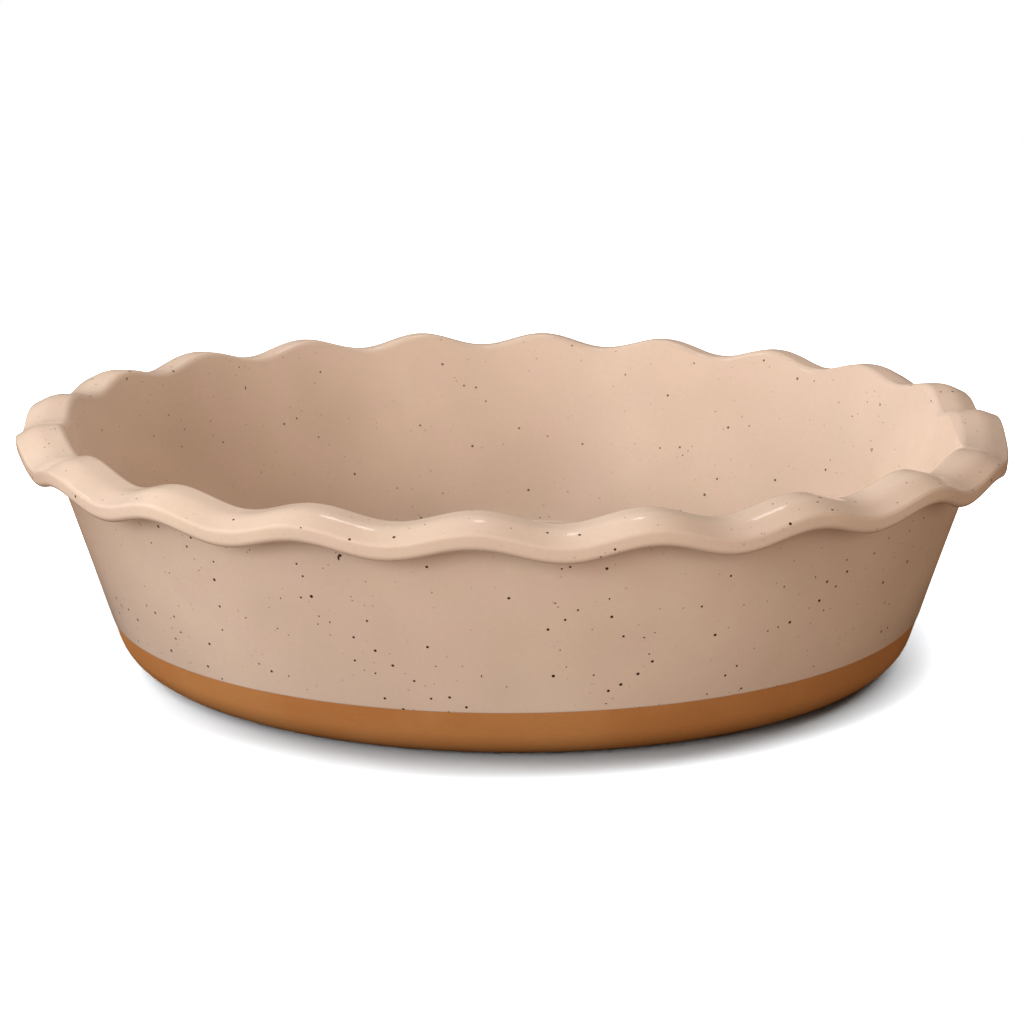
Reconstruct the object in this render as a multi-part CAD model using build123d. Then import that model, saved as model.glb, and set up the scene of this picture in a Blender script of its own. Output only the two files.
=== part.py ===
"""Deep pie dish with a wavy flange rim: one fired clay body and the glaze skin on it.

Millimetres. +Z is up, and the origin is the centre of the foot, on the table.
One section, from the middle of the floor up the inside, over the rim and down the outside to the
foot, is carried round Z. At the rim it also slides up and down the slope of the wall in even waves,
so the rim rises and falls and the wall under it stays a true cone.
"""

from build123d import *
import math
import os

# Fired clay, without its glaze
clay_rim_diameter = 279.6
rim_edge_height = 64.5
wall_base_diameter = 223.2
wall_lean_degrees = 17.5
wall_thickness = 4.8
floor_thickness = 5.5
inside_corner_radius = 9.0

# Flange: nearly level where it leaves the wall, then rolled over to a crisp edge above a low face
flange_fall_degrees = 2.8
flange_roll_degrees = 27.2
flange_roll_width = 5.7
under_flange_degrees = 15.0
lip_face_height = 3.9
lip_lean_degrees = 4.2
flange_inner_radius = 2.1
crown_radius = 9.2
lip_edge_radius = 0.7
lip_bottom_radius = 1.3
under_lip_radius = 3.0

# Heel and foot, which are bare clay
heel_radius = 11.2
foot_ring_width = 9.0
foot_recess_depth = 1.5
foot_edge_radius = 1.0
foot_edge_degrees = 45.0

# Glaze skin
glaze_thickness = 0.5
glaze_line_height = 14.5

# Waves of the rim, measured from trough to crest
wave_count = 20
wave_height = 3.6
first_crest_degrees = -4.2

# How finely the waves and the rounded corners are followed, and how many waves one face spans
points_per_wave = 8
corner_steps = 6
waves_per_face = 4

# Share of a straight side that the rounded corners at its two ends may use up together
corner_room_share = 0.98

# The outer wall's slope, and what follows from it
wall_slope = math.radians(wall_lean_degrees)
wall_degrees = 90 - wall_lean_degrees
outer_wall_base = (wall_base_diameter / 2, 0)


def cross_lines(point_a, degrees_a, point_b, degrees_b):
    """Point where two section lines meet, each given by a point and its angle to the radius."""
    angle_a = math.radians(degrees_a)
    angle_b = math.radians(degrees_b)
    span_r = point_b[0] - point_a[0]
    span_z = point_b[1] - point_a[1]
    reach = (span_r * math.sin(angle_b) - span_z * math.cos(angle_b)) / math.sin(angle_b - angle_a)
    return point_a[0] + reach * math.cos(angle_a), point_a[1] + reach * math.sin(angle_a)


def step_from(point, degrees, reach):
    """Point a given reach away in the section, at an angle to the radius."""
    angle = math.radians(degrees)
    return point[0] + reach * math.cos(angle), point[1] + reach * math.sin(angle)


def glazed_corners():
    """Sharp clay corners under the glaze, as (radius, height, rounding, share of the wave)."""
    rim_radius = clay_rim_diameter / 2
    floor_height = foot_recess_depth + floor_thickness
    inner_wall_base = (outer_wall_base[0] - wall_thickness / math.cos(wall_slope), 0)
    lip_edge = (rim_radius, rim_edge_height)
    crown = step_from(lip_edge, 180 - flange_roll_degrees, flange_roll_width)
    lip_bottom = step_from(lip_edge, -90 - lip_lean_degrees, lip_face_height)

    # The inner and outer faces of the wall are parallel
    floor_edge = cross_lines(inner_wall_base, wall_degrees, (0, floor_height), 0)
    flange_inner = cross_lines(inner_wall_base, wall_degrees, crown, -flange_fall_degrees)
    under_lip = cross_lines(outer_wall_base, wall_degrees, lip_bottom, -under_flange_degrees)
    glaze_line = cross_lines(outer_wall_base, wall_degrees, (0, glaze_line_height), 0)
    return [
        (0, floor_height, 0, 0),
        (*floor_edge, inside_corner_radius, 0),
        (*flange_inner, flange_inner_radius, 1),
        (*crown, crown_radius, 1),
        (*lip_edge, lip_edge_radius, 1),
        (*lip_bottom, lip_bottom_radius, 1),
        (*under_lip, under_lip_radius, 1),
        (*glaze_line, 0, 0),
    ]


def bare_corners():
    """Sharp clay corners of the unglazed heel, foot ring and recess, in the same form."""
    glaze_line = cross_lines(outer_wall_base, wall_degrees, (0, glaze_line_height), 0)
    heel_reach = heel_radius * math.tan(math.radians(wall_degrees / 2))
    foot_inner = outer_wall_base[0] - heel_reach - foot_ring_width
    recess_edge = foot_inner - foot_recess_depth / math.tan(math.radians(foot_edge_degrees))
    return [
        (*glaze_line, 0, 0),
        (*outer_wall_base, heel_radius, 0),
        (foot_inner, 0, foot_edge_radius, 0),
        (recess_edge, foot_recess_depth, foot_edge_radius, 0),
        (0, foot_recess_depth, 0, 0),
    ]


def side_angle(start, end):
    """Angle of the side from one corner to the next, in radians from the radius."""
    return math.atan2(end[1] - start[1], end[0] - start[0])


def side_length(start, end):
    return math.hypot(end[0] - start[0], end[1] - start[1])


def corner_turns(corners):
    """How far the section turns at each corner, where a turn to the right is negative."""
    turns = [0]
    for before, corner, after in zip(corners, corners[1:], corners[2:]):
        turn = side_angle(corner, after) - side_angle(before, corner)
        turns.append(math.remainder(turn, math.tau))
    return turns + [0]


def rounding_that_fits(corners, turns):
    """Each corner's rounding, made smaller where the sides beside it are too short for it."""
    reaches = [corner[2] * math.tan(abs(turn) / 2) for corner, turn in zip(corners, turns)]
    fits = [1] * len(corners)
    for index in range(len(corners) - 1):
        room = corner_room_share * side_length(corners[index], corners[index + 1])
        wanted = reaches[index] + reaches[index + 1]
        if wanted > room:
            fits[index] = min(fits[index], room / wanted)
            fits[index + 1] = min(fits[index + 1], room / wanted)
    return [corner[2] * fit for corner, fit in zip(corners, fits)]


def corner_stations(corner, rounding, turn, angle_in):
    """Points round one corner, as (radius, height, normal r, normal z, share of the wave)."""
    radius, height, _, share = corner
    if rounding == 0:
        outward = angle_in + math.pi / 2
        return [(radius, height, math.cos(outward), math.sin(outward), share)]
    bend = -rounding if turn > 0 else rounding
    reach = rounding * math.tan(abs(turn) / 2)
    outward_in = angle_in + math.pi / 2
    centre_r = radius - reach * math.cos(angle_in) - bend * math.cos(outward_in)
    centre_z = height - reach * math.sin(angle_in) - bend * math.sin(outward_in)
    stations = []
    for step in range(corner_steps + 1):
        outward = outward_in + turn * step / corner_steps
        across = math.cos(outward)
        up = math.sin(outward)
        stations.append((centre_r + bend * across, centre_z + bend * up, across, up, share))
    return stations


def section_bands(corners):
    """The section's straight and rounded stretches in order, each as a list of stations."""
    turns = corner_turns(corners)
    roundings = rounding_that_fits(corners, turns)
    angles = [side_angle(start, end) for start, end in zip(corners, corners[1:])]
    angles = [angles[0]] + angles
    bands = []
    reached = None
    for corner, rounding, turn, angle_in in zip(corners, roundings, turns, angles):
        stations = corner_stations(corner, rounding, turn, angle_in)
        if reached:
            bands.append([reached, stations[0]])
        if len(stations) > 1:
            bands.append(stations)
        reached = stations[-1]
    return bands


def wave_point(station, skin, turn):
    """Point of a station, set out from the clay by skin and carried round by turn from a crest."""
    clay_r, clay_z, across, up, share = station
    lift = share * wave_height / 2 * math.cos(wave_count * turn)
    radius = clay_r + skin * across + lift * math.tan(wall_slope)
    angle = turn + math.radians(first_crest_degrees)
    return Vector(radius * math.cos(angle), radius * math.sin(angle), clay_z + skin * up + lift)


def ring_edges(station, skin=0):
    """Closed curve that one station draws round the dish, in lengths that run from crest to crest."""
    edges = []
    for first_wave in range(0, wave_count, waves_per_face):
        waves = min(waves_per_face, wave_count - first_wave)
        steps = waves * points_per_wave
        span = math.tau * waves / wave_count
        start = math.tau * first_wave / wave_count
        shares = [step / steps for step in range(steps + 1)]
        points = [wave_point(station, skin, start + span * share) for share in shares]
        # At a crest the curve runs level and square to its radius
        ends = [Vector(-point.Y, point.X, 0) * span for point in (points[0], points[-1])]
        edges.append(Edge.make_spline(points, tangents=ends, parameters=shares, scale=False))
    return edges


def flat_face(stations, skin):
    """Level disc, or level ring where neither end of the stretch is on the axis."""
    outer, inner = sorted(stations, reverse=True)
    holes = [Wire(ring_edges(inner, skin))] if inner[0] else []
    return Face(Wire(ring_edges(outer, skin)), holes)


def swept_faces(rings):
    """Surfaces through neighbouring rings: straight between two, and smooth through more."""
    faces = []
    for edges in zip(*rings):
        wires = [Wire([edge]) for edge in edges]
        faces += Shell.make_loft(wires, ruled=len(wires) == 2).faces()
    return faces


def band_faces(bands, skin=0):
    """Surfaces that the stretches of a section sweep round the dish."""
    faces = []
    for band in bands:
        level = len(band) == 2 and math.isclose(abs(band[0][3]), 1)
        if level:
            faces.append(flat_face(band, skin))
        else:
            faces += swept_faces([ring_edges(station, skin) for station in band])
    return faces


def closed_solid(faces):
    """Solid inside a closed set of faces."""
    return Solid(Shell(faces))


def clay_body():
    """Floor, wall, flange, heel and foot of the dish, as one fired piece."""
    bands = section_bands(glazed_corners()) + section_bands(bare_corners())
    return closed_solid(band_faces(bands))


def glaze_coat():
    """Even skin on the clay, from the middle of the floor round to the line on the outer wall."""
    bands = section_bands(glazed_corners())
    edge = bands[-1][-1]
    lower_edge = swept_faces([ring_edges(edge), ring_edges(edge, glaze_thickness)])
    return closed_solid(band_faces(bands) + band_faces(bands, glaze_thickness) + lower_edge)


def main():
    """Write one file for each piece."""
    os.makedirs("parts", exist_ok=True)
    export_step(clay_body(), "parts/clay_body.step")
    export_step(glaze_coat(), "parts/glaze_coat.step")


main()
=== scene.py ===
"""Deep pie dish on a white studio floor: speckled blush glaze over bare clay, with a hand-made rim.

Metres, +Z up. One section is carried round Z, as in the part, but the rim here is as uneven as a
hand-finished one: it rises, spreads and shifts its waves a little on the way round.
"""

import math

import bpy
from mathutils import Euler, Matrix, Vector


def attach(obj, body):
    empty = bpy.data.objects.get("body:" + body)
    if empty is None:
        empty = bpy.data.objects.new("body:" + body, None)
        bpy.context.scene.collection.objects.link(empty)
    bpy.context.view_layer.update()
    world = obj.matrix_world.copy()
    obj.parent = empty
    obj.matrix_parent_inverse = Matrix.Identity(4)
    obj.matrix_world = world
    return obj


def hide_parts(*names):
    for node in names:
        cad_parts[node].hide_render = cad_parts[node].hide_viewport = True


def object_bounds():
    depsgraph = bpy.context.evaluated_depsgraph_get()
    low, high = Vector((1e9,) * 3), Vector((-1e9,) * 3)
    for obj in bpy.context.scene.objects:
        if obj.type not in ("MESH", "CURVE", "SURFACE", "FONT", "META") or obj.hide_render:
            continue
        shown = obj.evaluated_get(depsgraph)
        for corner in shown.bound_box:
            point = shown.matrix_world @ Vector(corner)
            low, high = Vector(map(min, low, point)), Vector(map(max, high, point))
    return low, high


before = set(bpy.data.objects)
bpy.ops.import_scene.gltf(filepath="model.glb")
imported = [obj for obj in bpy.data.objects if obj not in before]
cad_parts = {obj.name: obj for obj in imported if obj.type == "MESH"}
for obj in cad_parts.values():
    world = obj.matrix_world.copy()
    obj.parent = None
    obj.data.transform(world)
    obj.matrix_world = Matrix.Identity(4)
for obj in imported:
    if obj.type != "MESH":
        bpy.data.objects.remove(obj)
cad_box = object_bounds()

MM = 0.001

# Reach of the part, and where the mean rim lies under its highest crest and inside its widest reach
rim_reach = cad_box[1].x
crest_top = cad_box[1].z
rim_drop = 6.32 * MM
rim_inset = 0.77 * MM

# Section of the finished dish, glaze included. The flange is nearly level, rolls over to a crisp edge
# and ends in a low face that leans under.
wall_radius_at_line = 116.2 * MM
glaze_line_height = 14.25 * MM
wall_lean_degrees = 17.55
wall_thickness = 5.7 * MM
floor_height = 7.5 * MM
inside_corner_radius = 8.5 * MM
flange_fall_degrees = 2.8
flange_roll_degrees = 27.2
flange_roll_width = 6.17 * MM
under_flange_degrees = 15.0
lip_face_height = 4.81 * MM
lip_lean_degrees = 4.2
shoulder_radius = 2.6 * MM
crown_radius = 9.7 * MM
lip_edge_radius = 1.2 * MM
lip_bottom_radius = 1.8 * MM
under_lip_radius = 2.5 * MM

# Glaze skin and its rolled lower edge
glaze_thickness = 0.5 * MM
glaze_edge_thickness = 0.15 * MM
glaze_edge_roll = 0.5 * MM
glaze_line_tilt = 0.86 * MM

# Bare heel and foot
heel_radius = 11.2 * MM
foot_ring_width = 9.0 * MM
foot_recess_depth = 1.5 * MM
foot_edge_radius = 1.0 * MM
foot_edge_degrees = 45.0

# Waves of the rim, trough to crest
wave_count = 20
wave_height = 3.42 * MM
first_crest_degrees = -4.12

# Unevenness of the rim, as (times round, amount, degrees of a peak)
rim_rise = ((1, 0.17 * MM, 181), (2, 1.0 * MM, 161), (3, 0.32 * MM, 141), (4, 0.38 * MM, 86))
rim_spread = ((2, 0.26 * MM, 79), (3, 0.08 * MM, 73))
wave_shift = ((1, 0.13, 88), (2, 0.35, 41), (3, 0.37, 18), (4, 0.1, 12), (5, 0.17, 10))
wave_swell = ((1, 0.07, 171), (2, 0.16, 89), (3, 0.06, 66), (4, 0.09, 38))

# Places where the rim was pressed out of true, as (degrees, reach in degrees, lift, spread, degrees
# that its waves shift by, their swell, degrees that the flange levels by)
rim_presses = (
    (-24.5, 9.9, -2.6 * MM, 1.12 * MM, -2.34, 0.45, -1.7),
    (-0.1, 11.6, -1.12 * MM, -2.14 * MM, 2.82, 0.52, 9.1),
)

# How finely the meshes follow the waves, the arcs and the straight sides
points_per_wave = 32
arc_steps = 10
side_step = 6.0 * MM
hidden_step = 3

wall_slope = math.radians(wall_lean_degrees)


def crossing(start, degrees, other, other_degrees):
    """Point where two section lines meet, each given by a point and its angle to the radius."""
    angle = math.radians(degrees)
    other_angle = math.radians(other_degrees)
    span = other - start
    reach = span.x * math.sin(other_angle) - span.y * math.cos(other_angle)
    reach /= math.sin(other_angle - angle)
    return start + reach * Vector((math.cos(angle), math.sin(angle)))


def towards(degrees, reach):
    """Step of a given reach, at an angle to the radius."""
    angle = math.radians(degrees)
    return reach * Vector((math.cos(angle), math.sin(angle)))


def section_corners():
    """Sharp corners as (place, rounding, share of the waves, share of the glaze line's tilt)."""
    wall_degrees = 90 - wall_lean_degrees
    line_point = Vector((wall_radius_at_line, glaze_line_height))
    inner_wall = line_point - Vector((wall_thickness / math.cos(wall_slope), 0))
    lip_edge = Vector((rim_reach - rim_inset, crest_top - rim_drop))
    crown = lip_edge + towards(180 - flange_roll_degrees, flange_roll_width)
    lip_bottom = lip_edge + towards(-90 - lip_lean_degrees, lip_face_height)
    floor = Vector((0, floor_height))
    floor_edge = crossing(inner_wall, wall_degrees, floor, 0)
    shoulder = crossing(inner_wall, wall_degrees, crown, -flange_fall_degrees)
    under_lip = crossing(line_point, wall_degrees, lip_bottom, -under_flange_degrees)
    return [
        (floor, 0, 0, 0),
        (floor_edge, inside_corner_radius, 0, 0),
        (shoulder, shoulder_radius, 1, 0),
        (crown, crown_radius, 1, 0),
        (lip_edge, lip_edge_radius, 1, 0),
        (lip_bottom, lip_bottom_radius, 1, 0),
        (under_lip, under_lip_radius, 1, 0),
        (line_point, 0, 0, 1),
    ]


def foot_corners(line_point):
    """Sharp corners of the bare clay from the glaze line to the middle of the foot."""
    wall_degrees = 90 - wall_lean_degrees
    wall_base = crossing(line_point, wall_degrees, Vector((0, 0)), 0)
    heel_reach = heel_radius * math.tan(math.radians(wall_degrees / 2))
    foot_inner = wall_base - Vector((heel_reach + foot_ring_width, 0))
    edge_run = foot_recess_depth / math.tan(math.radians(foot_edge_degrees))
    recess_edge = foot_inner + Vector((-edge_run, foot_recess_depth))
    return [
        (line_point, 0, 0, 1),
        (wall_base, heel_radius, 0, 0),
        (foot_inner, foot_edge_radius, 0, 0),
        (recess_edge, foot_edge_radius, 0, 0),
        (Vector((0, foot_recess_depth)), 0, 0, 0),
    ]


def arc_points(before, corner, after, rounding):
    """Points of the arc that rounds a corner, from one side to the next."""
    if not rounding:
        return [corner]
    way_in = (corner - before).normalized()
    way_out = (after - corner).normalized()
    turn = math.atan2(way_in.x * way_out.y - way_in.y * way_out.x, way_in.dot(way_out))
    start = corner - way_in * rounding * math.tan(abs(turn) / 2)
    inwards = math.copysign(1, turn) * Vector((-way_in.y, way_in.x))
    points = []
    for step in range(arc_steps + 1):
        angle = abs(turn) * step / arc_steps
        points.append(start + rounding * (math.sin(angle) * way_in + (1 - math.cos(angle)) * inwards))
    return points


def section_stations(corners):
    """Stations along a section, as (radius, height, share of the waves, share of the tilt)."""
    places = [corner[0] for corner in corners]
    stations = []
    for index, (place, rounding, waves, tilt) in enumerate(corners):
        before = places[max(index - 1, 0)]
        after = places[min(index + 1, len(places) - 1)]
        arc = [Vector((*point, waves, tilt)) for point in arc_points(before, place, after, rounding)]
        if stations:
            start = stations[-1]
            steps = max(1, math.ceil((arc[0] - start).xy.length / side_step))
            stations += [start.lerp(arc[0], step / steps) for step in range(1, steps)]
        stations += arc
    return stations


def inset(stations, depths):
    """The same stations, moved from the surface into the body by their own depths."""
    moved = []
    for index, (station, depth) in enumerate(zip(stations, depths)):
        before = stations[max(index - 1, 0)]
        after = stations[min(index + 1, len(stations) - 1)]
        along = (after - before).xy.normalized()
        moved.append(station + Vector((along.y * depth, -along.x * depth, 0, 0)))
    return moved


def ripple(waves, angle):
    """Sum of slow waves round the dish at one angle."""
    return sum(amount * math.cos(count * (angle - math.radians(peak))) for count, amount, peak in waves)


def pressed(angle):
    """Lift, spread, shift, swell and levelling of the rim at one angle, from all the presses."""
    totals = Vector.Fill(5)
    for degrees, reach, *amounts in rim_presses:
        away = math.degrees(math.remainder(angle - math.radians(degrees), math.tau)) / reach
        totals += math.exp(-away * away) * Vector(amounts)
    return totals


def rim_place(angle):
    """How far the rim slides up the wall's slope, stands out and levels its flange, at one angle."""
    lift, spread, shift, swell, level = pressed(angle)
    turned = angle - math.radians(first_crest_degrees + ripple(wave_shift, angle) + shift)
    swell += 1 + ripple(wave_swell, angle)
    lift += swell * wave_height / 2 * math.cos(wave_count * turned) + ripple(rim_rise, angle)
    return lift, spread + ripple(rim_spread, angle), math.radians(level)


def carried_round(station, angle, rim):
    """Place of a station at one angle round the dish, where the rim has a place of its own."""
    radius, height, waves, tilt = station
    rise, spread, level = rim
    rise += level * (radius - rim_reach + rim_inset)
    lift = waves * rise + tilt * glaze_line_tilt * math.cos(angle)
    radius += lift * math.tan(wall_slope) + waves * spread
    return radius * math.cos(angle), radius * math.sin(angle), height + lift


def swept_piece(name, stations):
    """Closed mesh that a section makes round Z, where its first and last stations are on the axis."""
    turns = wave_count * points_per_wave
    angles = [math.tau * turn / turns for turn in range(turns)]
    rim = [rim_place(angle) for angle in angles]
    rings = stations[1:-1]
    points = [(0, 0, stations[0].y), (0, 0, stations[-1].y)]
    first = len(points)
    last = (len(rings) - 1) * turns
    for ring in rings:
        points += [carried_round(ring, angle, place) for angle, place in zip(angles, rim)]
    faces = []
    for turn in range(turns):
        here = first + turn
        ahead = first + (turn + 1) % turns
        faces.append((0, here, ahead))
        faces.append((1, ahead + last, here + last))
        for row in range(0, last, turns):
            faces.append((here + row, here + row + turns, ahead + row + turns, ahead + row))
    mesh = bpy.data.meshes.new(name)
    mesh.from_pydata(points, [], faces)
    mesh.shade_smooth()
    piece = bpy.data.objects.new(name, mesh)
    bpy.context.scene.collection.objects.link(piece)
    return piece


def glazed_surface():
    """Stations of the glaze's face, and how deep the clay lies under each: less beside the edge."""
    surface = section_stations(section_corners())
    depths = [glaze_thickness] * (len(surface) - 1) + [glaze_edge_thickness]
    return surface, depths


def glaze_skin():
    """Glaze from the middle of the floor round to its rolled edge, and back along the clay."""
    surface, depths = glazed_surface()
    down = (surface[-1] - surface[-2]).xy.normalized()
    rolled = []
    roll_depths = []
    for step in range(1, arc_steps + 1):
        angle = math.pi / 2 * step / arc_steps
        rolled.append(surface[-1] + glaze_edge_roll * math.sin(angle) * Vector((*down, 0, 0)))
        roll_depths.append(glaze_edge_thickness * (1 - math.cos(angle)))
    outside = inset(surface + rolled, [0] * len(surface) + roll_depths)
    hidden = inset(surface, depths)[::-hidden_step]
    start = inset(surface, depths)[:1]
    return swept_piece("speckled_glaze_skin", outside + hidden[:-1] + start)


def clay_dish():
    """The whole fired body, whose foot and heel are bare."""
    under_glaze = inset(*glazed_surface())
    bare = section_stations(foot_corners(under_glaze[-1].xy))
    return swept_piece("fired_clay_dish", under_glaze[:-1:hidden_step] + bare)


def add(tree, kind, inputs, **settings):
    """Adds a shader node, sets it up and joins or fills its inputs."""
    node = tree.nodes.new(kind)
    for name, value in settings.items():
        setattr(node, name, value)
    for socket, value in inputs.items():
        if isinstance(value, bpy.types.NodeSocket):
            tree.links.new(value, node.inputs[socket])
        else:
            node.inputs[socket].default_value = value
    return node


def blend(tree, share, first, second, kind="MIX"):
    """Colour mixed from two others."""
    node = add(tree, "ShaderNodeMix", {}, data_type="RGBA", blend_type=kind)
    for socket, value in ((node.inputs[0], share), (node.inputs[6], first), (node.inputs[7], second)):
        if isinstance(value, bpy.types.NodeSocket):
            tree.links.new(value, socket)
        else:
            socket.default_value = value
    return node.outputs[2]


def sums(tree, operation, *values):
    """Result of one sum on numbers or sockets."""
    return add(tree, "ShaderNodeMath", dict(enumerate(values)), operation=operation).outputs[0]


def noise(tree, where, size, detail=2.0, roughness=0.5):
    """Soft noise whose blotches are about as wide as size."""
    settings = {"Vector": where, "Scale": 1 / size, "Detail": detail, "Roughness": roughness}
    return add(tree, "ShaderNodeTexNoise", settings).outputs["Fac"]


def ramp(tree, value, low, high, to_low=0.0, to_high=1.0, smooth=False):
    """Value carried from one range to another and held inside it."""
    inputs = {"Value": value, "From Min": low, "From Max": high, "To Min": to_low, "To Max": to_high}
    kind = "SMOOTHSTEP" if smooth else "LINEAR"
    return add(tree, "ShaderNodeMapRange", inputs, interpolation_type=kind).outputs["Result"]


# Least size of a speck, as a share of the largest
smallest_speck_share = 0.45


def specks(tree, where, inside, spacing, radius, outside_share, inside_share, softness):
    """Mask of scattered dots, in a share of cells of the given spacing that differs on the inside."""
    cells = add(tree, "ShaderNodeTexVoronoi", {"Vector": where, "Scale": 1 / spacing})
    chance = add(tree, "ShaderNodeSeparateColor", {"Color": cells.outputs["Color"]})
    size_share = ramp(tree, chance.outputs[1], 0, 1, smallest_speck_share, 1)
    grain = sums(tree, "MULTIPLY", size_share, radius / spacing)
    core = sums(tree, "MULTIPLY", grain, 1 - softness)
    inputs = {"Value": cells.outputs["Distance"], "From Min": grain, "From Max": core}
    dot = add(tree, "ShaderNodeMapRange", inputs, interpolation_type="SMOOTHSTEP").outputs["Result"]
    share = ramp(tree, inside, 0, 1, outside_share, inside_share)
    kept = sums(tree, "LESS_THAN", chance.outputs[0], share)
    return sums(tree, "MULTIPLY", dot, kept)


def new_material(name):
    """Material with only a shader and its output, and the place on the piece that patterns use."""
    material = bpy.data.materials.new(name)
    material.use_nodes = True
    tree = material.node_tree
    shader = tree.nodes["Principled BSDF"]
    where = tree.nodes.new("ShaderNodeTexCoord").outputs["Object"]
    return material, tree, shader, where


def on_the_inside(tree, where):
    """1 on the floor and the inside of the wall, and 0 outside the middle of the wall."""
    flat = add(tree, "ShaderNodeVectorMath", {0: where, 1: (1, 1, 0)}, operation="MULTIPLY").outputs[0]
    radius = add(tree, "ShaderNodeVectorMath", {0: flat}, operation="LENGTH").outputs["Value"]
    height = add(tree, "ShaderNodeSeparateXYZ", {"Vector": where}).outputs[2]
    middle = wall_radius_at_line - glaze_line_height * math.tan(wall_slope)
    middle -= wall_thickness / 2 / math.cos(wall_slope)
    leaned = sums(tree, "SUBTRACT", radius, sums(tree, "MULTIPLY", height, math.tan(wall_slope)))
    return sums(tree, "LESS_THAN", leaned, middle)


# Where a soft pattern starts and ends, in the noise that makes it
cloud_range = (0.35, 0.65)
grain_range = (0.3, 0.7)

# Glaze colours: wide clouds of two tones, pinker patches over them, and a faint grain
cloud_size = 55.0 * MM
cloud_tones = ((0.605, 0.475, 0.377, 1), (0.68, 0.545, 0.435, 1))
patch_size = 14.0 * MM
patch_cover = 0.4
patch_colour = (0.64, 0.48, 0.41, 1)
grain_size = 1.2 * MM
grain_tones = (0.985, 1.015)

# Specks in the glaze, as (distance apart, greatest radius, share of places outside, share of places
# inside, softness)
bold_specks = (3.6 * MM, 0.5 * MM, 0.72, 0.4, 0.2)
dashed_specks = (6.0 * MM, 0.38 * MM, 0.35, 0.2, 0.3)
fine_specks = (2.9 * MM, 0.36 * MM, 0.7, 0.7, 0.4)
faint_specks = (4.4 * MM, 0.6 * MM, 0.5, 0.5, 0.7)
dash_turn = (0.5, 0.4, 0.9)
dash_squeeze = (1, 1, 0.3)

# How fully the specks cover the glaze, and their colours. Bold and dashed ones are iron.
faint_cover = 0.35
faint_colour = (0.28, 0.15, 0.09, 1)
fine_cover = 0.55
fine_colour = (0.2, 0.1, 0.055, 1)
iron_cover_outside = 0.98
iron_cover_inside = 0.85
iron_colour = (0.018, 0.005, 0.001, 1)

# Gloss of the glaze, and the ripple in it
gloss_patch_size = 9.0 * MM
gloss_roughness = (0.13, 0.17)
iron_roughness = 0.25
ripple_size = 11.0 * MM
fine_ripple_size = 2.5 * MM
fine_ripple_share = 0.08
iron_sink_share = 0.3
ripple_strength = 0.35
ripple_depth = 0.12 * MM


def glaze_colour(tree, where):
    """Blush glaze with soft clouds, pinker patches and a faint grain, before its specks."""
    clouds = ramp(tree, noise(tree, where, cloud_size, detail=2), *cloud_range, smooth=True)
    patches = ramp(tree, noise(tree, where, patch_size, detail=3), *cloud_range, smooth=True)
    colour = blend(tree, clouds, *cloud_tones)
    pinker = blend(tree, sums(tree, "MULTIPLY", patches, patch_cover), colour, patch_colour)
    grain = ramp(tree, noise(tree, where, grain_size, detail=2), *grain_range, *grain_tones)
    return blend(tree, 1.0, pinker, grain, "MULTIPLY")


def glaze_material():
    """Warm blush glaze with iron specks of several sizes and a slightly rippled gloss."""
    material, tree, shader, where = new_material("speckled_blush_glaze")
    inside = on_the_inside(tree, where)
    colour = glaze_colour(tree, where)

    mapping = {"Vector": where, "Rotation": dash_turn, "Scale": dash_squeeze}
    dashes_place = add(tree, "ShaderNodeMapping", mapping).outputs[0]
    bold = specks(tree, where, inside, *bold_specks)
    dashes = specks(tree, dashes_place, inside, *dashed_specks)
    fine = specks(tree, where, inside, *fine_specks)
    faint = specks(tree, where, inside, *faint_specks)
    iron = sums(tree, "MAXIMUM", bold, dashes)
    iron_cover = ramp(tree, inside, 0, 1, iron_cover_outside, iron_cover_inside)
    colour = blend(tree, sums(tree, "MULTIPLY", faint, faint_cover), colour, faint_colour)
    colour = blend(tree, sums(tree, "MULTIPLY", fine, fine_cover), colour, fine_colour)
    colour = blend(tree, sums(tree, "MULTIPLY", iron, iron_cover), colour, iron_colour)
    tree.links.new(colour, shader.inputs["Base Color"])

    gloss = ramp(tree, noise(tree, where, gloss_patch_size, detail=3), *grain_range, *gloss_roughness)
    roughness = sums(tree, "ADD", gloss, sums(tree, "MULTIPLY", iron, iron_roughness))
    tree.links.new(roughness, shader.inputs["Roughness"])

    fine_ripple = noise(tree, where, fine_ripple_size, detail=1)
    relief = noise(tree, where, ripple_size, detail=1)
    relief = sums(tree, "ADD", relief, sums(tree, "MULTIPLY", fine_ripple, fine_ripple_share))
    relief = sums(tree, "SUBTRACT", relief, sums(tree, "MULTIPLY", iron, iron_sink_share))
    inputs = {"Height": relief, "Strength": ripple_strength, "Distance": ripple_depth}
    tree.links.new(add(tree, "ShaderNodeBump", inputs).outputs[0], shader.inputs["Normal"])
    return material


# Bare clay: clouds of two tones, a fine grain, and small darker pits given as the specks are
clay_cloud_size = 30.0 * MM
clay_tones = ((0.43, 0.176, 0.055, 1), (0.47, 0.207, 0.07, 1))
clay_grain_size = 0.7 * MM
clay_grain_range = (0.25, 0.75)
clay_grain_tones = (0.93, 1.05)
clay_pits = (2.6 * MM, 0.22 * MM, 0.4, 0.4, 0.6)
pit_cover = 0.35
pit_colour = (0.25, 0.09, 0.03, 1)
clay_roughness = (0.52, 0.62)
clay_relief_size = 0.9 * MM
clay_relief_strength = 0.3
clay_relief_depth = 0.1 * MM


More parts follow.
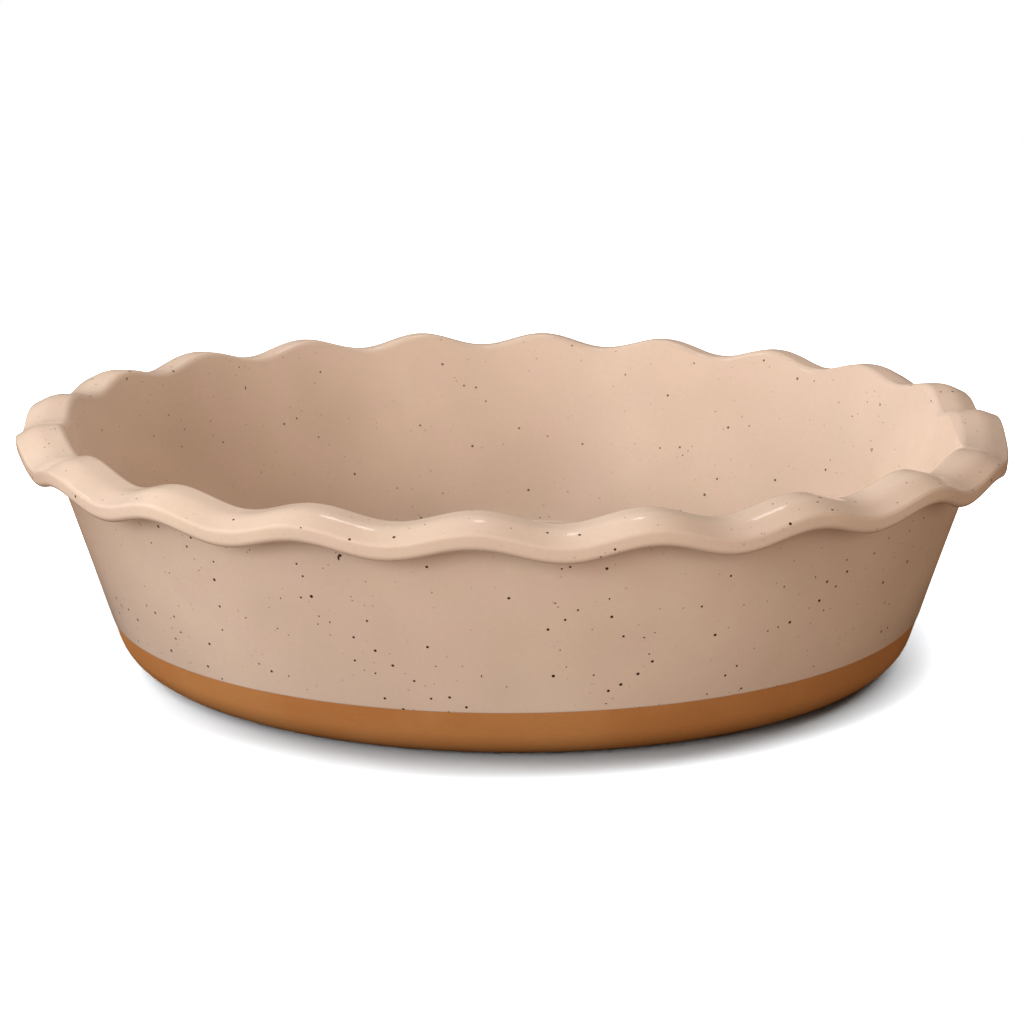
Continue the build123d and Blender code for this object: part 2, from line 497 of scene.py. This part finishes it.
def clay_material():
    """Warm fired clay with a satin face, fine grain and a little uneven colour."""
    material, tree, shader, where = new_material("satin_bare_clay")
    clouds = ramp(tree, noise(tree, where, clay_cloud_size, detail=3), *cloud_range, smooth=True)
    grain_noise = noise(tree, where, clay_grain_size, detail=3, roughness=0.6)
    grain = ramp(tree, grain_noise, *clay_grain_range, *clay_grain_tones)
    pits = specks(tree, where, 0, *clay_pits)
    colour = blend(tree, 1.0, blend(tree, clouds, *clay_tones), grain, "MULTIPLY")
    colour = blend(tree, sums(tree, "MULTIPLY", pits, pit_cover), colour, pit_colour)
    tree.links.new(colour, shader.inputs["Base Color"])
    roughness = ramp(tree, grain, *clay_grain_tones, *clay_roughness)
    tree.links.new(roughness, shader.inputs["Roughness"])
    relief = sums(tree, "SUBTRACT", noise(tree, where, clay_relief_size, detail=3), pits)
    inputs = {"Height": relief, "Strength": clay_relief_strength, "Distance": clay_relief_depth}
    tree.links.new(add(tree, "ShaderNodeBump", inputs).outputs[0], shader.inputs["Normal"])
    return material


def dress(piece, node, material):
    """Puts a piece in the place of its CAD node."""
    piece.data.materials.append(material)
    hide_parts(node)
    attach(piece, "root")


def receivers(name, *objects):
    """Group that a lamp lights alone."""
    group = bpy.data.collections.new(name)
    for item in objects:
        group.objects.link(item)
    return group


# Softboxes that light the dish alone, as (azimuth, elevation, watts, colour). Azimuth 0 is at the
# camera's side and -90 on the left. A low row wraps the left and the front, and the rest are high.
lamp_distance = 1.2
lamp_size = 0.55
neutral = (1.0, 1.0, 1.0)
warm = (1.07, 0.91, 0.77)
softboxes = (
    (-120, 15, 2.45, neutral),
    (-90, 15, 2.8, neutral),
    (-30, 15, 7.35, neutral),
    (30, 15, 3.14, warm),
    (60, 15, 0.34, warm),
    (-30, 30, 1.8, neutral),
    (-90, 45, 5.56, neutral),
    (180, 40, 7.1, neutral),
)

# Small lamps for the thin bright lines on the lip, as (azimuth, elevation, watts, size)
glints = (
    (-112, 50, 0.6, 0.18),
    (180, 66, 0.4, 0.16),
)


def softbox(kind, size, azimuth, elevation, watts, colour, lit):
    """Square lamp that faces the dish."""
    name = f"{kind}_{azimuth}_{elevation}"
    lamp = bpy.data.lights.new(name, "AREA")
    lamp.size = size
    lamp.energy = watts
    lamp.color = colour
    holder = bpy.data.objects.new(name, lamp)
    around = math.radians(azimuth)
    above = math.radians(elevation)
    reach = math.cos(above)
    away = Vector((math.sin(around) * reach, -math.cos(around) * reach, math.sin(above)))
    holder.location = away * lamp_distance
    holder.rotation_euler = away.to_track_quat("Z", "Y").to_euler()
    holder.light_linking.receiver_collection = lit
    bpy.context.scene.collection.objects.link(holder)
    return holder


def studio_lamps(lit):
    """Soft fills that throw no reflection, and small bright lamps that throw nothing else."""
    for azimuth, elevation, watts, colour in softboxes:
        softbox("fill", lamp_size, azimuth, elevation, watts, colour, lit).visible_glossy = False
    for azimuth, elevation, watts, size in glints:
        softbox("glint", size, azimuth, elevation, watts, neutral, lit).visible_diffuse = False


def camera_sees(tree, seen, otherwise):
    """Shader that only the camera sees, with another in its place for all other light."""
    path = tree.nodes.new("ShaderNodeLightPath")
    inputs = {0: path.outputs["Is Camera Ray"], 1: otherwise.outputs[0], 2: seen.outputs[0]}
    return add(tree, "ShaderNodeMixShader", inputs).outputs[0]


# Floor that goes white past the soft shadow round the foot, and its colour for the light that it
# throws back on the dish
floor_radius = 1.6
floor_seen = (0.3, 0.308, 0.316)
floor_bounce = (0.025, 0.0137, 0.0075)

# Wide suns that light the floor alone, as (strength, degrees away from straight above, degrees round
# to the left from the camera's side, degrees that it spreads)
floor_suns = (
    (7.4, 18, -60, 16),
    (6.8, 18, 0, 16),
    (9.8, 50, -135, 40),
    (3.4, 50, 90, 40),
    (17.8, 70, 135, 40),
    (5.8, 70, 45, 40),
)


def studio_floor():
    """Round floor whose colour for the camera is apart from the light that it throws back."""
    turns = wave_count * points_per_wave
    mesh = bpy.data.meshes.new("studio_floor")
    angles = [math.tau * turn / turns for turn in range(turns)]
    ring = [(floor_radius * math.cos(angle), floor_radius * math.sin(angle), 0) for angle in angles]
    mesh.from_pydata(ring, [], [tuple(range(turns))])
    floor = bpy.data.objects.new("studio_floor", mesh)
    bpy.context.scene.collection.objects.link(floor)
    material = bpy.data.materials.new("white_floor")
    material.use_nodes = True
    tree = material.node_tree
    tree.nodes.clear()
    seen = add(tree, "ShaderNodeBsdfDiffuse", {"Color": (*floor_seen, 1)})
    thrown = add(tree, "ShaderNodeBsdfDiffuse", {"Color": (*floor_bounce, 1)})
    add(tree, "ShaderNodeOutputMaterial", {"Surface": camera_sees(tree, seen, thrown)})
    mesh.materials.append(material)
    return floor


def floor_lamps(lit):
    """Wide suns for the floor, so that the dish's shadow fades softly all round."""
    for strength, from_above, to_left, spread in floor_suns:
        name = f"sun_{from_above}_{to_left}"
        lamp = bpy.data.lights.new(name, "SUN")
        lamp.energy = strength
        lamp.angle = math.radians(spread)
        holder = bpy.data.objects.new(name, lamp)
        holder.rotation_euler = Euler((math.radians(from_above), 0, -math.radians(to_left)))
        holder.light_linking.receiver_collection = lit
        bpy.context.scene.collection.objects.link(holder)


# Even light from all round, and white where the camera sees past the floor
ambient_level = 0.257
ambient_colour = (1.2, 0.916, 0.7, 1)


def studio_world():
    """White where the camera sees it, and a weak warm light for everything else."""
    world = bpy.data.worlds.new("studio")
    world.use_nodes = True
    tree = world.node_tree
    tree.nodes.clear()
    white = add(tree, "ShaderNodeBackground", {"Color": (1, 1, 1, 1), "Strength": 1.0})
    ambient = add(tree, "ShaderNodeBackground", {"Color": ambient_colour, "Strength": ambient_level})
    add(tree, "ShaderNodeOutputWorld", {"Surface": camera_sees(tree, white, ambient)})
    bpy.context.scene.world = world


# Camera: where it stands, how many degrees it looks down and to the right, and its lens
camera_distance = 726.0 * MM
camera_elevation = 16.27
camera_pitch = 13.44
camera_yaw = -0.075
focal_pixels = 2485.0
picture_pixels = 1024
sensor_width = 36.0


def add_camera():
    """Camera at the photograph's angle and distance, with the plain view transform."""
    data = bpy.data.cameras.new("camera")
    data.sensor_width = sensor_width
    data.lens = focal_pixels / picture_pixels * sensor_width
    camera = bpy.data.objects.new("camera", data)
    above = math.radians(camera_elevation)
    camera.location = (0, -camera_distance * math.cos(above), camera_distance * math.sin(above))
    camera.rotation_euler = Euler((math.radians(90 - camera_pitch), 0, -math.radians(camera_yaw)))
    bpy.context.scene.collection.objects.link(camera)
    bpy.context.scene.camera = camera
    bpy.context.scene.view_settings.view_transform = "Standard"


glaze = glaze_skin()
clay = clay_dish()
dress(glaze, "glaze_coat", glaze_material())
dress(clay, "clay_body", clay_material())

floor_lamps(receivers("floor_only", studio_floor()))
studio_world()
add_camera()

studio_lamps(receivers("dish_only", glaze, clay))
